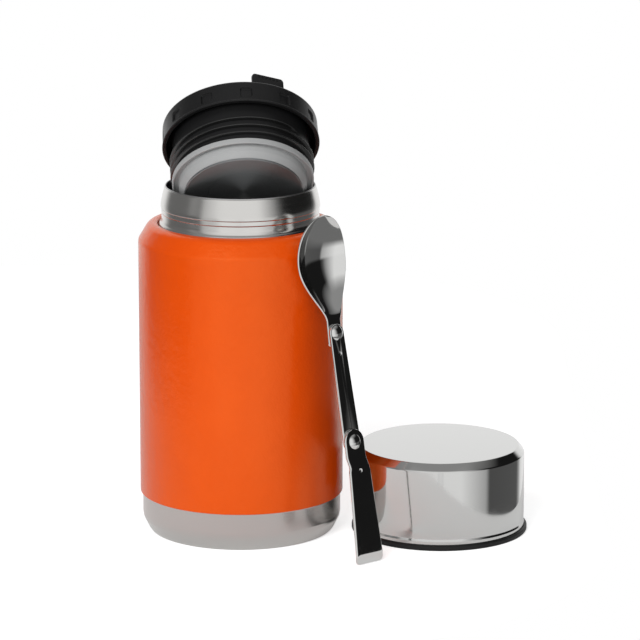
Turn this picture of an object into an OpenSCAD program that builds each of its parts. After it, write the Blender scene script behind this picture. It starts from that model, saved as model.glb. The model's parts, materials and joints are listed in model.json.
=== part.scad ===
// Insulated food jar with its screw-in stopper laid open in the mouth, its cup stood
// upside down beside it and its folding spoon leant on it.
// The origin is the centre of the jar's foot, +Z up, and -Y is the side that faces the viewer.

/* [Jar body] */
// Outside radius of the painted body
body_r = 50; // [46:0.5:56]
// Height of the corner where the body turns into the shoulder
shoulder_z = 145.5; // [120:0.5:170]
// Wall of the painted outer shell
shell_wall = 0.8; // [0.6:0.1:1.2]
// Radius of the fillet between the body and the shoulder, as a share of the shoulder's width
fillet_share = 0.5; // [0.3:0.05:0.6]
// How far the shoulder's slope leans in from upright, in degrees
shoulder_lean = 31; // [28:1:40]
// Radius of the round edge between the slope and the flat top, as a share of the shoulder's width
round_share = 0.625; // [0.5:0.025:0.7]
// Radius of the roll where the shoulder meets the neck
shoulder_roll_r = 1.2; // [1:0.1:1.5]
// Vacuum gap between the outer shell and the inner vessel
vacuum_gap = 4.6; // [3:0.1:6]

/* [Neck] */
// Outside radius of the straight part of the neck
neck_r = 38.6; // [37.9:0.1:40]
// Height of the neck above the shoulder groove
neck_h = 20.8; // [20.6:0.2:26]
// Flare of the neck where it meets the shoulder
neck_flare = 1.8; // [1.4:0.1:2.2]
// Wall of the neck collar
collar_wall = 0.8; // [0.6:0.1:1]
// How far the mouth's wall sits inside the neck's outside
mouth_inset = 2.5; // [2.2:0.1:2.8]
// Wall of the inner vessel
vessel_wall = 0.6; // [0.5:0.1:0.8]
// How far the rolled thread stands into the mouth
mouth_thread_h = 1.2; // [0.8:0.1:1.4]

/* [Base] */
// Height of the bare steel band under the painted body
band_h = 19.1; // [14:0.1:24]
// How far the steel band sits in from the painted body
band_inset = 1.2; // [1:0.1:2]
// Radial size of the chamfer at the foot
foot_chamfer_r = 3.6; // [2:0.1:5]
// Height of the chamfer at the foot
foot_chamfer_h = 6.4; // [4:0.1:8]
// Wall of the base cup
base_wall = 0.8; // [0.6:0.1:1]
// Height of the closing plate over the floor
plate_z = 12.2; // [9:0.1:13]
// Wall of the closing plate
plate_wall = 0.8; // [0.6:0.1:1]
// Gap between the closing plate and the inner vessel
floor_gap = 7; // [6:0.5:10]

/* [Stopper] */
// How far the stopper's skirt sits in from the neck's outside
skirt_inset = 0.6; // [0.3:0.1:1]
// Height of the skirt, top face included
skirt_h = 12; // [11:0.1:13]
// Wall of the skirt
skirt_wall = 1.8; // [1.4:0.1:2]
// Thickness of the stopper's top face
top_t = 3; // [2.8:0.1:3.4]
// Number of grip pockets round the skirt
pockets = 12; // [8:1:16]
// Width of a grip pocket
pocket_w = 5.6; // [4:0.1:7]
// Height of a grip pocket
pocket_h = 5.2; // [4:0.1:6]
// Depth of a grip pocket
pocket_depth = 0.7; // [0.4:0.1:1]
// Turn of the first pocket from the raised front
pocket_turn = 8.5; // [0:0.5:30]
// Gap between the mouth and the plug's wall, for the threads
plug_gap = 2.8; // [2.7:0.1:3.3]
// Wall of the plug
plug_wall = 1.6; // [1.2:0.1:2]
// Depth of the plug's shoulder, below the skirt's lower edge
plug_depth = 18.9; // [18:0.1:21]
// How far the plug's thread stands out
plug_thread_h = 1.7; // [1.2:0.1:1.8]
// Pitch of both threads
thread_pitch = 4.2; // [3.6:0.1:4.4]
// Gap between the mouth and the seal's outer ring
seal_gap = 1.8; // [1.7:0.1:2.5]
// Height of the seal's outer ring
seal_ring_h = 3; // [2:0.1:3.8]
// How far the seal's inner ring sits in from its outer ring
seal_step = 2.6; // [1.8:0.1:3.2]
// How far the spun steel disc sits in from the seal's inner ring
disc_inset = 3.1; // [2.7:0.1:4]
// Depth of the disc's rim, below the skirt's lower edge
disc_depth = 27.8; // [26.5:0.1:28]
// Thickness of the disc
disc_t = 0.8; // [0.6:0.1:1]

/* [Flip tab] */
// Width of the flip tab
tab_w = 16.5; // [12:0.5:20]
// Height of the standing tab over the top face
tab_h = 7.2; // [6:0.2:12]
// Thickness of the tab
tab_t = 1.8; // [1.6:0.1:2]
// How far the tab's pin sits in from the skirt's outside
tab_pin_inset = 5; // [4:0.5:8]
// Turn of the tab from the raised front
tab_turn = 28.5; // [0:0.5:40]
// Radius of the tab's pin
tab_pin_r = 0.5; // [0.4:0.05:0.6]

/* [Cup] */
// Outside radius of the cup's wall
cup_r = 41.8; // [41.4:0.1:44]
// Height of the cup
cup_h = 43; // [35:0.5:60]
// Wall of the cup
cup_wall = 0.8; // [0.6:0.1:1.2]
// Radial size of the bevel round the cup's flat end
cup_bevel_r = 2.9; // [1.5:0.1:5]
// Height of the same bevel
cup_bevel_h = 3.6; // [2:0.1:6]
// How far the grip ring stands out from the cup's wall
ring_out = 1.5; // [1:0.1:2]
// Height of the grip ring
ring_h = 2.8; // [2.4:0.1:5]
// How far the grip ring reaches inside the cup's outside
ring_in = 1.8; // [1.5:0.1:2.3]

/* [Spoon] */
// Thickness of the spoon's plates
plate_t = 1.5; // [1.2:0.1:2]
// Distance from the foot of the handle to its rivet
handle_l = 59; // [50:1:70]
// Distance between the rivets
link_l = 53; // [46:1:60]
// Distance from the bowl's rivet to the bowl's tip
bowl_reach = 56.5; // [54:0.5:64]
// Length of the bowl
bowl_l = 48; // [44:0.5:50]
// Width of the bowl
bowl_w = 30.6; // [26:0.1:36]
// Depth of the bowl under its rim
bowl_depth = 5.5; // [4:0.1:8]
// How far the middle of the rim dips under its ends
rim_dip = 4.6; // [2:0.1:5.5]
// Width of the handle at its foot
foot_w = 17.6; // [14:0.1:20]
// Width of the handle at its rivet
handle_w = 13.4; // [11:0.1:15]
// Width of the link at the bowl's rivet
link_top_w = 8.6; // [8:0.1:10]
// Width of the link at the handle's rivet
link_foot_w = 10.4; // [9:0.1:11]
// Radius of the rivets' heads
rivet_head_r = 3.6; // [3:0.1:4]
// Height of the rivets' domed heads
rivet_dome_h = 1.3; // [0.8:0.1:1.5]
// Radius of the rivets' shanks
rivet_r = 1.6; // [1.2:0.1:2]

/* [Placement] */
// Tilt of the opened stopper from level
stopper_tilt = 45.5; // [45:0.1:46]
// Sideways lean of the opened stopper
stopper_roll = 4.7; // [4.5:0.1:5]
// Sideways place of the opened stopper
stopper_x = 0.4; // [0.3:0.1:0.6]
// Place of the opened stopper behind the jar's axis
stopper_y = 0.8; // [0.6:0.1:1]
// Height of the opened stopper's skirt edge over the lip
stopper_up = 18.5; // [18.4:0.1:18.8]
// Gap between the jar's body and the cup's grip ring
cup_gap = 4.5; // [4:0.5:30]
// Cup's centre behind the jar's axis
cup_y = -3.8; // [-20:0.1:20]
// Gap between the leaning spoon's bowl and the body
lean_gap = 0.3; // [0.2:0.01:1]
// Direction of the spoon's foot from the jar's axis
spoon_azimuth = -47; // [-60:1:-40]
// Turn of the spoon's face to the right
spoon_yaw = 42; // [36:1:46]
// Lean of the spoon back onto the jar
spoon_lean = 11; // [9:0.5:15]

/* [Hidden] */

// Clearances
running = 0.05;         // a pin in its bore
face_gap = 0.1;         // between plates that swing over each other
fold_gap = 0.3;         // round the folded flip tab

// Shoulder: a slope from the body's corner, a round edge and a narrow flat top that rolls down at the neck.
// The top's height follows from where the slope, at its lean, meets the round edge.
flare_r = neck_r + neck_flare;
roll_r = flare_r + shoulder_roll_r;
shoulder_flat = 0.4;
round_r = roll_r + shoulder_flat;
shoulder_w = body_r - round_r;
shoulder_fillet = shoulder_w * fillet_share;
shoulder_round = shoulder_w * round_share;
slope_top_r = round_r + shoulder_round * tan((90 - shoulder_lean) / 2);
shoulder_top_z = shoulder_z + (body_r - slope_top_r) / tan(shoulder_lean);
seam_h = 1.3;
neck_sink = 2.6;        // from the shoulder's top down to the neck's foot
neck_z = shoulder_top_z - neck_sink;
jar_h = neck_z + neck_h;
shell_inner_r = body_r - shell_wall;

// Neck, with heights over neck_z and radii over neck_r
neck_curve = [
    [neck_flare, 0.7], [neck_flare * 0.6, 2.2], [neck_flare * 0.2, 3.1], [0, 4.1], [-0.05, 5.5], [-0.18, 7.3],
    [0.02, 7.8], [0.05, 9.7], [0.25, 10.2], [0.15, 12.3], [-0.5, neck_h - 5.2], [-1, neck_h - 3.1],
    [-1.45, neck_h - 1.6]];
lip_join = 0.4;
lip_seat = 2.6;

// Inner vessel
mouth_r = neck_r - mouth_inset;
vessel_r = shell_inner_r - vacuum_gap;
vessel_neck_r = mouth_r + vessel_wall;
vessel_z = plate_z + plate_wall + floor_gap;
vessel_corner = 10;
vessel_slope_z = neck_z - 1;
thread_clear = 7.5;     // from the lip down to the mouth's thread
mouth_thread_turns = 1.6;
getter_r = 5;
getter_h = 2.4;
getter_at = 24;

// Base cup
band_r = body_r - band_inset;
seat_r = shell_inner_r; // the base cup seats inside the shell here
seat_h = 7;
foot_r = band_r - foot_chamfer_r;
foot_round = 0.6;
groove_r = 32;          // pressed ring under the base
groove_w = 4;
groove_h = 1;

// Stopper, with heights under the skirt's lower edge negative
skirt_r = neck_r - skirt_inset;
plug_r = mouth_r - plug_gap;
seal_r = mouth_r - seal_gap;
seal_step_r = seal_r - seal_step;
disc_r = seal_step_r - disc_inset;
plug_top = skirt_h - top_t;
plug_thread_low = -(plug_depth - 1.6);
plug_thread_high = -6.5;
plug_thread_turns = (plug_thread_high - plug_thread_low) / thread_pitch;
plug_thread_start = 124;
hub_r = disc_r - 0.6;
hub_wall = 1.6;
seal_top = -plug_depth;
seal_low = -(disc_depth - disc_t - 0.4);
dish_r = disc_r * 0.6;
dish_h = 0.9;
skirt_lip_h = 0.9;
skirt_lip_out = 0.3;
skirt_draft = 0.3;

// Flip tab: the pin lies in the top face, tangent to the rim
tab_pin_at = skirt_r - tab_pin_inset;
tab_pin_z = skirt_h - (tab_t / 2 + 0.1);
tab_pocket_z = tab_pin_z - tab_t / 2 - fold_gap;
tab_corner = 1.8;
pin_grip = 1.6;

// Cup
ring_inner_r = cup_r - ring_in;
cup_flare = 0.2;
ring_floor = 0.8;

// Spoon, drawn upright in a plane: x to the right, y towards the jar, z up
handle_roll = 1;        // the slight crook at the rivets
link_roll = -1;
bowl_roll = 2.8;
joggle = rivet_dome_h + 0.4;
joggle_from = 8;
joggle_run = 4;
handle_front = -(plate_t + face_gap);
tongue_back = plate_t + face_gap;
neck_plate_w = 7.6;
tongue_l = 7;
sink_r = 2.8;           // countersunk tail of the handle's rivet
sink_h = 1;
dimple_at = 10;
mark_r = 1.1;
mark_h = 0.35;
foot_corner = 2.4;
// Lifts the foot so that its lowest corner stands on the floor
foot_lift = (foot_w / 2 - foot_corner) * sin(handle_roll) + foot_corner * (1 - cos(handle_roll))
    - (face_gap + joggle) * tan(spoon_lean);
bowl_wall = 1.2;
bowl_middle = bowl_reach - bowl_l / 2;

FN = 120;
SMALL_FN = 48;

function arc(cx, cy, r, from, to, n) =
    [for (i = [0:n]) let (a = from + (to - from) * i / n) [cx + r * cos(a), cy + r * sin(a)]];
function backwards(list) = [for (i = [len(list) - 1:-1:0]) list[i]];

// A dished oval's skin: q runs from the middle, 0, to the rim, 1, and a round the oval
function dish_point(w, l, d, q, a) =
    let (dip = rim_dip * (1 - pow(q * sin(a), 2)))
    [w / 2 * q * cos(a) * (1 - 0.12 * sin(a) * q), d * (1 - pow(q, 2.3)) + dip, l / 2 * q * sin(a)];

// Turns about the Y, X and Z axes
function rolled(p, a) = [p[0] * cos(a) + p[2] * sin(a), p[1], p[2] * cos(a) - p[0] * sin(a)];
function leaned(p, a) = [p[0], p[1] * cos(a) + p[2] * sin(a), p[2] * cos(a) - p[1] * sin(a)];
function yawed(p, a) = [p[0] * cos(a) - p[1] * sin(a), p[0] * sin(a) + p[1] * cos(a), p[2]];

// Where a point of the bowl stands when the spoon's foot is on the jar's axis
function bowl_point(p) =
    let (up = rolled([0, 0, handle_l], handle_roll) + rolled([0, 0, link_l], link_roll)
        + rolled(p, bowl_roll))
    yawed(leaned(up + [0, 0, foot_lift], spoon_lean), spoon_yaw);

// How far the foot has to stand from the axis for that point to clear the body or its shoulder
function away_for(p) =
    let (out = yawed(p, -spoon_azimuth), lean_in = max(0, p[2] - shoulder_z) * tan(shoulder_lean),
        clear_r = body_r - lean_in + lean_gap)
    sqrt(pow(clear_r, 2) - pow(out[1], 2)) - out[0];

bowl_back = [for (k = [0:20]) for (a = [0:6:354])
    [0, tongue_back, bowl_middle] + dish_point(bowl_w, bowl_l, bowl_depth, k / 20, a)];
spoon_away = max([for (p = bowl_back) away_for(bowl_point(p))]);
cup_x = body_r + cup_gap + cup_r + ring_out;

module turned(points) {
    rotate_extrude($fn = FN) polygon(points);
}

// A ridge of trapezium section that climbs along a helix and fades in and out at its ends.
// A crest inside its root gives an inside thread.
module helix_ridge(root, crest, low, pitch, turns, root_w, crest_w) {
    steps = 48;
    total = round(turns * steps);
    inside = crest < root;
    shape = [[root, -root_w / 2], [crest, -crest_w / 2], [crest, crest_w / 2], [root, root_w / 2]];
    section = inside ? backwards(shape) : shape;
    grow = [for (i = [0:total]) max(0.05, min(1, min(i, total - i) / (steps / 10)))];
    points = [for (i = [0:total]) for (p = section)
        let (a = 360 * i / steps, r = root + (p[0] - root) * grow[i])
        [r * cos(a), r * sin(a), low + pitch * i / steps + p[1]]];
    sides = [for (i = [0:total - 1]) for (j = [0:3]) let (k = (j + 1) % 4)
        each [[i * 4 + j, i * 4 + k, i * 4 + 4 + j], [i * 4 + k, i * 4 + 4 + k, i * 4 + 4 + j]]];
    end = total * 4;
    caps = [[0, 3, 2], [0, 2, 1], [end, end + 1, end + 2], [end, end + 2, end + 3]];
    polyhedron(points, concat(sides, caps));
}

// ---- jar ----

module outer_shell() {
    fillet_z = shoulder_z - shoulder_fillet * tan(shoulder_lean / 2);
    fillet_r = body_r - shoulder_fillet;
    round_z = shoulder_top_z - shoulder_round;
    color("orangered") turned(concat(
        [[shell_inner_r, band_h], [body_r - 0.4, band_h], [body_r, band_h + 0.5]],
        arc(fillet_r, fillet_z, shoulder_fillet, 0, shoulder_lean, 4),
        arc(round_r, round_z, shoulder_round, shoulder_lean, 90, 6),
        arc(roll_r, shoulder_top_z - shoulder_roll_r, shoulder_roll_r, 90, 180, 6),
        [[flare_r, neck_z - seam_h], [flare_r + shell_wall, neck_z - seam_h],
         [flare_r + shell_wall, shoulder_top_z - shell_wall]],
        arc(round_r, round_z, shoulder_round - shell_wall, 90, shoulder_lean, 6),
        arc(fillet_r, fillet_z, shoulder_fillet - shell_wall, shoulder_lean, 0, 4)));
}

module neck_collar() {
    outside = [for (p = neck_curve) [neck_r + p[0], neck_z + p[1]]];
    last = len(outside) - 4;
    color("silver") turned(concat(
        [[flare_r, neck_z - seam_h]], outside,
        [[vessel_neck_r, jar_h - lip_join], [vessel_neck_r, jar_h - lip_join - lip_seat]],
        [for (i = [last + 1:-1:0]) [outside[i][0] - collar_wall, outside[i][1] - (i == 0 ? 0.3 : 0)]],
        [[flare_r - collar_wall, neck_z - seam_h]]));
}

module inner_vessel() {
    slope_foot = vessel_slope_z - (vessel_r - vessel_neck_r);
    inner_r = vessel_r - vessel_wall;
    color("gainsboro") union() {
        turned(concat(
            [[0, vessel_z]],
            arc(vessel_r - vessel_corner, vessel_z + vessel_corner, vessel_corner, -90, 0, 8),
            [[vessel_r, slope_foot], [vessel_neck_r, vessel_slope_z],
             [vessel_neck_r, jar_h - 0.3], [vessel_neck_r - 0.15, jar_h], [mouth_r + 0.15, jar_h],
             [mouth_r, jar_h - 0.3], [mouth_r, vessel_slope_z - vessel_wall * 0.4],
             [inner_r, slope_foot - vessel_wall * 0.4]],
            arc(vessel_r - vessel_corner, vessel_z + vessel_corner, vessel_corner - vessel_wall, 0, -90, 8),
            [[0, vessel_z + vessel_wall]]));
        helix_ridge(mouth_r + vessel_wall / 2, mouth_r - mouth_thread_h,
            jar_h - thread_clear - mouth_thread_turns * thread_pitch, thread_pitch, mouth_thread_turns,
            2.6, 0.9);
    }
}

module base_cup() {
    inner_r = band_r - base_wall;
    color("silver") turned([
        [0, 0], [groove_r - groove_w / 2 - groove_h, 0], [groove_r - groove_w / 2, groove_h],
        [groove_r + groove_w / 2, groove_h], [groove_r + groove_w / 2 + groove_h, 0],
        [foot_r - foot_round, 0], [foot_r, foot_round * 0.4], [foot_r + 0.7, foot_round * 2],
        [band_r - 0.5, foot_chamfer_h], [band_r, foot_chamfer_h + 1.4],
        [band_r, band_h - 0.6], [seat_r, band_h + 0.4], [seat_r, band_h + seat_h],
        [seat_r - base_wall, band_h + seat_h], [seat_r - base_wall, band_h + 0.8],
        [inner_r, band_h - 0.2], [inner_r, foot_chamfer_h + 1.6], [inner_r - 0.5, foot_chamfer_h + 0.2],
        [foot_r - base_wall + 0.5, foot_round * 2 + 0.2], [foot_r - base_wall - 0.3, base_wall],
        [groove_r + groove_w / 2 + groove_h + 0.4, base_wall],
        [groove_r + groove_w / 2 + 0.4, groove_h + base_wall],
        [groove_r - groove_w / 2 - 0.4, groove_h + base_wall],
        [groove_r - groove_w / 2 - groove_h - 0.4, base_wall], [0, base_wall]]);
}

module closing_plate() {
    rim_r = seat_r - base_wall;
    low_r = band_r - base_wall - 0.2;
    color("darkgray") turned([
        [3.2, plate_z], [low_r - 0.8, plate_z], [low_r, plate_z + 0.8], [low_r, band_h + 0.2],
        [rim_r, band_h + 1.2], [rim_r, band_h + seat_h],
        [rim_r - plate_wall, band_h + seat_h], [rim_r - plate_wall, band_h + 1.5],
        [low_r - plate_wall, band_h + 0.5], [low_r - plate_wall, plate_z + plate_wall + 0.4],
        [low_r - plate_wall - 0.4, plate_z + plate_wall], [3.2, plate_z + plate_wall]]);
}

module seal_button() {
    color("dimgray") turned([
        [0, plate_z - 0.8], [4.6, plate_z - 0.8], [4.6, plate_z], [3.2, plate_z],
        [3.2, plate_z + plate_wall], [0, plate_z + plate_wall]]);
}

module getter() {
    color("gray") translate([getter_at, 0, plate_z + plate_wall]) difference() {
        cylinder(r = getter_r, h = getter_h, $fn = SMALL_FN);
        translate([0, 0, getter_h - 1]) cylinder(r = getter_r - 1, h = 2, $fn = SMALL_FN);
    }
}

// ---- stopper ----

module place_stopper() {
    translate([stopper_x, stopper_y, jar_h + stopper_up]) rotate([-stopper_tilt, -stopper_roll, 0])
        children();
}

// The tab's own frame: x along the pin, y outward from the stopper's axis
module place_tab() {
    rotate([0, 0, tab_turn]) rotate([0, 0, 180]) translate([0, tab_pin_at, tab_pin_z]) children();
}

module stopper_cap() {
    edge = 1.2;
    top_r = skirt_r - skirt_draft;
    color("#161616") place_stopper() difference() {
        turned(concat(
            [[0, plug_top], [skirt_r - skirt_wall, plug_top], [skirt_r - skirt_wall, 0],
             [skirt_r + skirt_lip_out - 0.2, 0], [skirt_r + skirt_lip_out, 0.2],
             [skirt_r + skirt_lip_out, skirt_lip_h], [skirt_r, skirt_lip_h + 0.2]],
            arc(top_r - edge, skirt_h - edge, edge, 0, 90, 5),
            [[0, skirt_h]]));
        for (i = [0:pockets - 1]) rotate([0, 0, pocket_turn - 90 + i * 360 / pockets])
            translate([skirt_r - pocket_depth, -pocket_w / 2, skirt_lip_h + 1.6])
                cube([pocket_depth + 1, pocket_w, pocket_h]);
        place_tab() {
            translate([-tab_w / 2 - fold_gap, -(tab_h + tab_t + fold_gap), tab_pocket_z - tab_pin_z])
                cube([tab_w + 2 * fold_gap, tab_h + tab_t * 1.5 + 2 * fold_gap, top_t + 1]);
            translate([-tab_w / 2 - pin_grip, 0, 0]) rotate([0, 90, 0])
                cylinder(r = tab_pin_r, h = tab_w + 2 * pin_grip, $fn = SMALL_FN);
        }
    }
}

module stopper_plug() {
    inner_r = plug_r - plug_wall;
    hub_low = -(disc_depth - disc_t - dish_h);
    color("#1c1c1c") place_stopper() union() {
        turned([
            [inner_r, plug_top], [plug_r, plug_top], [plug_r, seal_top], [hub_r, seal_top],
            [hub_r, hub_low], [0, hub_low], [0, hub_low + hub_wall], [hub_r - hub_wall, hub_low + hub_wall],
            [hub_r - hub_wall, seal_top + plug_wall], [inner_r, seal_top + plug_wall]]);
        rotate([0, 0, plug_thread_start]) helix_ridge(plug_r - 0.5, plug_r + plug_thread_h,
            plug_thread_low, thread_pitch, plug_thread_turns, 2.4, 0.8);
    }
}

module stopper_foam() {
    color("ivory") place_stopper() translate([0, 0, seal_top + plug_wall])
        cylinder(r = plug_r - plug_wall - 0.2, h = plug_top - seal_top - plug_wall, $fn = FN);
}

module stopper_seal() {
    color("whitesmoke") place_stopper() turned([
        [hub_r, seal_top], [seal_r - 0.3, seal_top], [seal_r, seal_top - 0.3],
        [seal_r, seal_top - seal_ring_h + 0.9], [seal_r - 0.6, seal_top - seal_ring_h],
        [seal_step_r, seal_top - seal_ring_h], [seal_step_r - 0.4, seal_top - seal_ring_h - 1.6],
        [disc_r + 0.7, seal_low + 0.5], [disc_r + 0.3, seal_low], [hub_r, seal_low]]);
}

module stopper_disc() {
    low = -disc_depth;
    color("lightgray") place_stopper() turned([
        [0, low + dish_h], [dish_r, low + dish_h], [disc_r - 0.8, low + 0.05], [disc_r - 0.4, low],
        [disc_r, low + 0.3], [disc_r, low + disc_t + 0.4], [hub_r, low + disc_t + 0.4],
        [hub_r, low + disc_t + dish_h], [0, low + disc_t + dish_h]]);
}

// The tab stands at rest and folds flat towards the stopper's centre
module flip_tab() {
    half = tab_w / 2;
    knuckle = tab_t / 2;
    face = concat(
        [[-half, 0], [half, 0]],
        arc(half - tab_corner, tab_h + knuckle - tab_corner, tab_corner, 0, 90, 6),
        arc(-half + tab_corner, tab_h + knuckle - tab_corner, tab_corner, 90, 180, 6));
    color("#222222") place_stopper() place_tab() difference() {
        union() {
            translate([0, tab_t / 2, 0]) rotate([90, 0, 0]) linear_extrude(tab_t) polygon(face);
            translate([-half, 0, 0]) rotate([0, 90, 0]) cylinder(r = knuckle, h = tab_w, $fn = SMALL_FN);
        }
        translate([-half - 1, 0, 0]) rotate([0, 90, 0])
            cylinder(r = tab_pin_r + running, h = tab_w + 2, $fn = SMALL_FN);
    }
}

module tab_pin() {
    color("silver") place_stopper() place_tab()
        translate([-tab_w / 2 - pin_grip, 0, 0]) rotate([0, 90, 0])
            cylinder(r = tab_pin_r, h = tab_w + 2 * pin_grip, $fn = SMALL_FN);
}

// ---- cup, open side down ----

module cup_shell() {
    flat_r = cup_r - cup_bevel_r;
    bevel_z = cup_h - cup_bevel_h;
    inner_r = cup_r - cup_wall;
    color("silver") translate([cup_x, cup_y, 0]) turned([
        [cup_r + cup_flare - cup_wall, ring_floor], [cup_r + cup_flare, ring_floor],
        [cup_r + cup_flare, ring_h], [cup_r, ring_h + 6],
        [cup_r, bevel_z - 0.4], [cup_r - 0.3, bevel_z + 0.3],
        [flat_r + 0.3, cup_h - 0.4], [flat_r - 0.4, cup_h],
        [0, cup_h], [0, cup_h - cup_wall], [flat_r - 0.6, cup_h - cup_wall],
        [inner_r - 0.3, bevel_z - 0.1], [inner_r, bevel_z - 0.6],
        [inner_r, ring_h + 6], [cup_r + cup_flare - cup_wall, ring_h]]);
}

module cup_ring() {
    ring_r = cup_r + ring_out;
    shell_r = cup_r + cup_flare;
    color("#101010") translate([cup_x, cup_y, 0]) turned([
        [ring_inner_r + 0.4, 0], [ring_r - 0.4, 0], [ring_r, 0.4], [ring_r, ring_h - 0.4],
        [ring_r - 0.4, ring_h], [shell_r, ring_h], [shell_r, ring_floor], [shell_r - cup_wall, ring_floor],
        [shell_r - cup_wall, ring_h], [ring_inner_r + 0.3, ring_h], [ring_inner_r, ring_h - 0.6],
        [ring_inner_r, 0.4]]);
}

// ---- spoon ----

module place_spoon() {
    translate([spoon_away * cos(spoon_azimuth), spoon_away * sin(spoon_azimuth), 0])
        rotate([0, 0, spoon_yaw]) rotate([-spoon_lean, 0, 0]) translate([0, 0, foot_lift])
            children();
}

module at_handle_rivet() {
    rotate([0, handle_roll, 0]) translate([0, 0, handle_l]) rotate([0, -handle_roll, 0]) children();
}

module at_bowl_rivet() {
    at_handle_rivet() rotate([0, link_roll, 0]) translate([0, 0, link_l]) rotate([0, -link_roll, 0])
        children();
}

// A plate from a face outline in x and z, from y = front over the thickness
module plate(front, t) {
    translate([0, front + t, 0]) rotate([90, 0, 0]) linear_extrude(t) children();
}

module cross_bore(r, front, back) {
    translate([0, front, 0]) rotate([-90, 0, 0]) cylinder(r = r, h = back - front, $fn = SMALL_FN);
}

module dome_mark(front) {
    mark_sphere = (mark_r * mark_r + mark_h * mark_h) / (2 * mark_h);
    translate([0, front - mark_sphere + mark_h, 0]) sphere(r = mark_sphere, $fn = SMALL_FN);
}

module spoon_handle() {
    half_top = handle_w / 2;
    half_foot = foot_w / 2;
    step_z = -joggle_from - joggle_run;
    color("silver") place_spoon() at_handle_rivet() rotate([0, handle_roll, 0]) difference() {
        union() {
            plate(handle_front, plate_t) union() {
                circle(r = half_top - 0.6, $fn = SMALL_FN);
                polygon([[-half_top + 0.6, 0], [half_top - 0.6, 0], [half_top, -joggle_from],
                    [-half_top, -joggle_from]]);
            }
            intersection() {
                translate([-half_top - 1, 0, 0]) rotate([90, 0, 90]) linear_extrude(handle_w + 2) polygon([
                    [handle_front, -joggle_from], [handle_front + plate_t, -joggle_from],
                    [handle_front + plate_t - joggle, step_z], [handle_front - joggle, step_z]]);
                plate(handle_front - joggle - 1, plate_t + joggle + 2) polygon([
                    [-half_top, -joggle_from + 1], [half_top, -joggle_from + 1],
                    [half_top, step_z - 1], [-half_top, step_z - 1]]);
            }
            plate(handle_front - joggle, plate_t) polygon(concat(
                [[half_top, step_z], [-half_top, step_z], [-half_top - 0.4, -handle_l * 0.5]],
                [[-half_foot + 0.6, -handle_l + 9]],
                arc(-half_foot + foot_corner, -handle_l + foot_corner, foot_corner, 180, 270, 5),
                arc(half_foot - foot_corner, -handle_l + foot_corner, foot_corner, 270, 360, 5),
                [[half_foot - 0.6, -handle_l + 9], [half_top + 0.4, -handle_l * 0.5]]));
        }
        cross_bore(rivet_r + running, handle_front - 1, handle_front + plate_t + 1);
        translate([0, 0, -dimple_at - joggle_run]) dome_mark(handle_front - joggle);
    }
}

module spoon_link() {
    color("silver") place_spoon() at_handle_rivet() rotate([0, link_roll, 0]) difference() {
        plate(0, plate_t) union() {
            circle(r = link_foot_w / 2, $fn = SMALL_FN);
            translate([0, link_l]) circle(r = link_top_w / 2, $fn = SMALL_FN);
            polygon([[-link_foot_w / 2, 0], [link_foot_w / 2, 0],
                [link_top_w / 2, link_l], [-link_top_w / 2, link_l]]);
        }
        cross_bore(rivet_r, -1, plate_t + 1);
        translate([0, plate_t - sink_h, 0]) rotate([-90, 0, 0])
            cylinder(r1 = rivet_r, r2 = sink_r, h = sink_h, $fn = SMALL_FN);
        translate([0, 0, link_l]) cross_bore(rivet_r, -1, plate_t + 1);
        translate([0, 0, link_l - dimple_at]) dome_mark(0);
    }
}

// A dished oval sheet: rings of points from the rim to the middle, inside and outside
module dish(width, length, depth, t) {
    rings = 9;
    sides = 40;
    function at(w, l, d, k, i) = dish_point(w, l, d, 1 - k / rings, 360 * i / sides);
    inside = [for (k = [0:rings - 1]) for (i = [0:sides - 1])
        at(width - 2 * t, length - 2 * t, depth - t, k, i)];
    outside = [for (k = [0:rings - 1]) for (i = [0:sides - 1]) at(width, length, depth, k, i)];
    n = rings * sides;
    middle = [[0, depth - t + rim_dip, 0], [0, depth + rim_dip, 0]];
    function skin(base, k, i) =
        let (j = (i + 1) % sides, a = base + k * sides + i, b = base + k * sides + j)
        [[a, b, b + sides], [a, b + sides, a + sides]];
    inner = [for (k = [0:rings - 2]) for (i = [0:sides - 1]) each skin(0, k, i)];
    outer = [for (k = [0:rings - 2]) for (i = [0:sides - 1]) each [for (f = skin(n, k, i)) backwards(f)]];
    rim = [for (i = [0:sides - 1]) let (j = (i + 1) % sides) each [[i, n + j, j], [i, n + i, n + j]]];
    last = (rings - 1) * sides;
    hub = [for (i = [0:sides - 1]) let (j = (i + 1) % sides)
        each [[last + i, last + j, 2 * n], [n + last + j, n + last + i, 2 * n + 1]]];
    polyhedron(concat(inside, outside, middle),
        [for (f = concat(inner, outer, rim, hub)) backwards(f)]);
}

module spoon_bowl() {
    neck_from = bowl_reach - bowl_l;
    color("silver") place_spoon() at_bowl_rivet() rotate([0, bowl_roll, 0]) union() {
        difference() {
            plate(tongue_back, plate_t) union() {
                circle(r = neck_plate_w / 2 + 1, $fn = SMALL_FN);
                translate([-neck_plate_w / 2, -tongue_l]) square([neck_plate_w, tongue_l]);
                polygon([[-neck_plate_w / 2 - 0.6, 0], [neck_plate_w / 2 + 0.6, 0],
                    [neck_plate_w / 2 + 1.4, neck_from + 1.1], [-neck_plate_w / 2 - 1.4, neck_from + 1.1]]);
            }
            cross_bore(rivet_r + running, tongue_back - 1, tongue_back + plate_t + 1);
        }
        translate([0, tongue_back, bowl_middle]) dish(bowl_w, bowl_l, bowl_depth, bowl_wall);
    }
}

// Domed heads are the caps of spheres
module dome(r, h) {
    big = (r * r + h * h) / (2 * h);
    intersection() {
        translate([0, 0, h - big]) sphere(r = big, $fn = FN);
        cylinder(r = r, h = h + 1, $fn = SMALL_FN);
    }
}

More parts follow.
